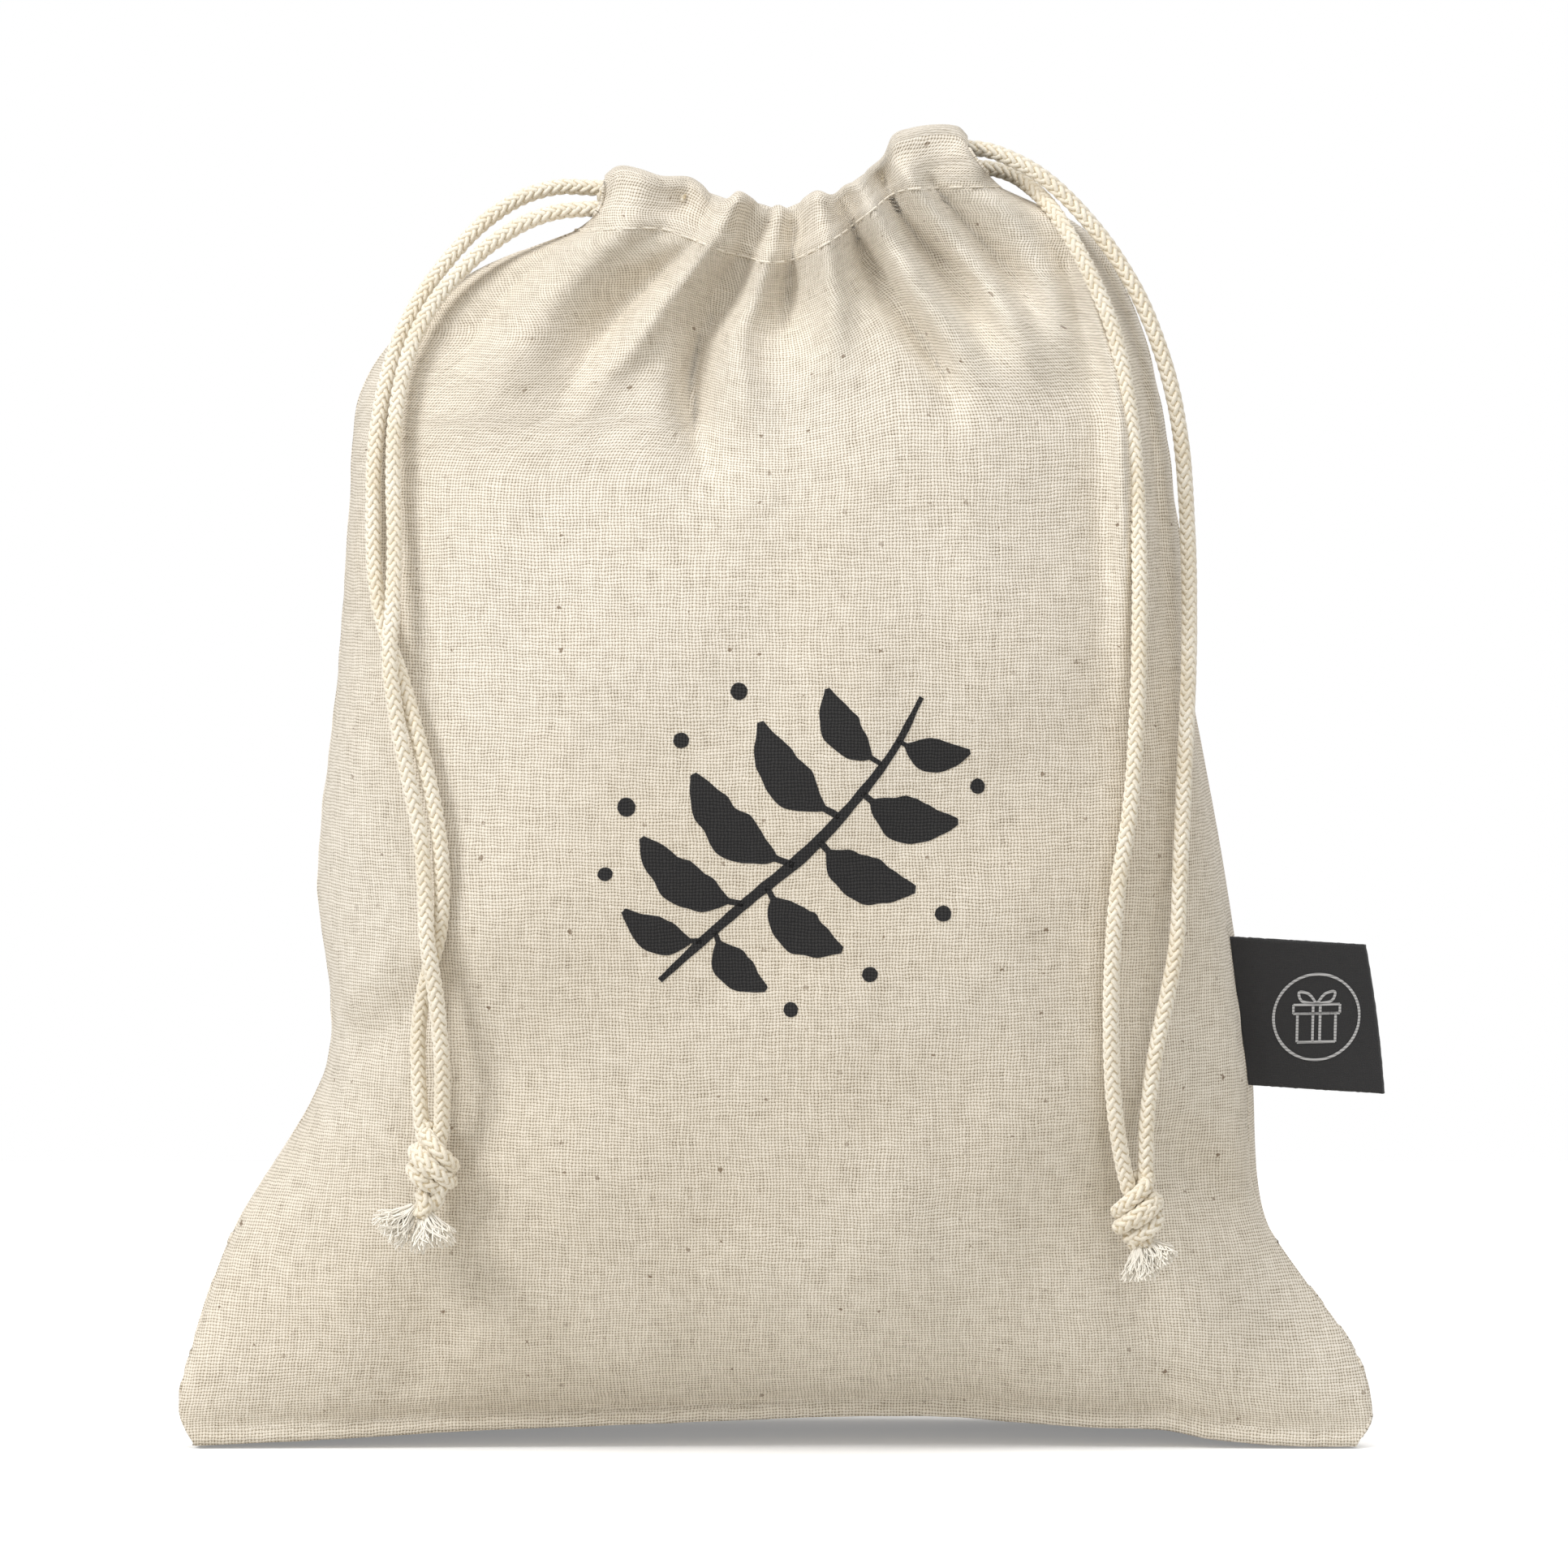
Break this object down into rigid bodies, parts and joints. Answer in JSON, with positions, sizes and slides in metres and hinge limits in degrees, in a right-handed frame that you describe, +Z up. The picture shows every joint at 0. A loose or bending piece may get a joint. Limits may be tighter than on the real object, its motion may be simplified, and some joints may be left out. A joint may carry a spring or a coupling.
{
  "type": "fabric gift sack",
  "caption": "Drawstring gift sack of unbleached cotton, gathered at the mouth by drawcords with knotted ends, with a folded label in the side seam.",
  "frame": {"origin": "on the floor, on the flat of the base midway between the bottom corners", "axes": "+Z up, from the base to the gathered mouth; front of the sack towards -Y; the sack's right side, which carries the label, towards +X"},
  "size_m": [0.2033, 0.0791, 0.2201],
  "materials": {
    "cloth": "plain-weave unbleached cotton with seed flecks",
    "seam_edge": "turned-in raw edge of the cotton",
    "cord": "braided ecru cotton cord, slightly fuzzy",
    "frayed_cotton": "loose combed cotton fibres",
    "thread": "white sewing thread",
    "label": "black woven satin ribbon"
  },
  "bodies": {
    "sack": {"front_panel": "cloth", "back_panel": "cloth", "left_seam": "seam_edge", "right_seam": "seam_edge", "bottom_seam": "seam_edge", "front_channel_left": "cloth", "front_stitching_left": "thread", "front_channel_right": "cloth", "front_stitching_right": "thread", "back_channel_left": "cloth", "back_stitching_left": "thread", "back_channel_right": "cloth", "back_stitching_right": "thread", "left_cord_front_near": "cord", "left_cord_front_far": "cord", "left_cord_back_near": "cord", "left_cord_back_far": "cord", "left_cord_turn": "cord", "right_cord_front_near": "cord", "right_cord_front_far": "cord", "right_cord_back_near": "cord", "right_cord_back_far": "cord", "right_cord_turn": "cord"},
    "front_lip": {"front_channel_middle": "cloth", "front_stitching_middle": "thread", "left_cord_front_middle": "cord", "right_cord_front_middle": "cord"},
    "back_lip": {"back_channel_middle": "cloth", "back_stitching_middle": "thread", "left_cord_back_middle": "cord", "right_cord_back_middle": "cord"},
    "left_cord": {"left_cord_front_root": "cord", "left_cord_back_root": "cord"},
    "right_cord": {"right_cord_front_root": "cord", "right_cord_back_root": "cord"},
    "left_tail": {"left_cord_front_strand": "cord", "left_cord_back_strand": "cord", "left_knot": "cord", "left_frayed_end_outer": "frayed_cotton", "left_frayed_end_inner": "frayed_cotton"},
    "right_tail": {"right_cord_front_strand": "cord", "right_cord_back_strand": "cord", "right_knot": "cord", "right_frayed_end_outer": "frayed_cotton", "right_frayed_end_inner": "frayed_cotton"},
    "label": {"side_label": "label"}
  },
  "joints": [
    {"name": "front_lip_open", "type": "slide", "parent": "sack", "child": "front_lip", "axis": [0, -1, 0], "range_m": [0, 0.012]},
    {"name": "back_lip_open", "type": "slide", "parent": "sack", "child": "back_lip", "axis": [0, 1, 0], "range_m": [0, 0.012]},
    {"name": "left_cord_pull", "type": "slide", "parent": "sack", "child": "left_cord", "axis": [-1, 0, 0], "range_m": [0, 0.008]},
    {"name": "right_cord_pull", "type": "slide", "parent": "sack", "child": "right_cord", "axis": [1, 0, 0], "range_m": [0, 0.008]},
    {"name": "left_tail_lift", "type": "hinge", "parent": "left_cord", "child": "left_tail", "pos_m": [-0.036, 0, 0.2083], "axis": [-1, 0, 0], "range_deg": [0, 60]},
    {"name": "right_tail_lift", "type": "hinge", "parent": "right_cord", "child": "right_tail", "pos_m": [0.036, 0, 0.2151], "axis": [-1, 0, 0], "range_deg": [0, 60]},
    {"name": "label_fold", "type": "hinge", "parent": "sack", "child": "label", "pos_m": [0.0812, -0.0014, 0.0721], "axis": [-0.127, 0, 0.9919], "range_deg": [-60, 60], "stiffness_Nm_per_rad": 0.0002}
  ],
  "couplings": [
    {"joint": "back_lip_open", "follows": "front_lip_open", "ratio": 1}
  ]
}
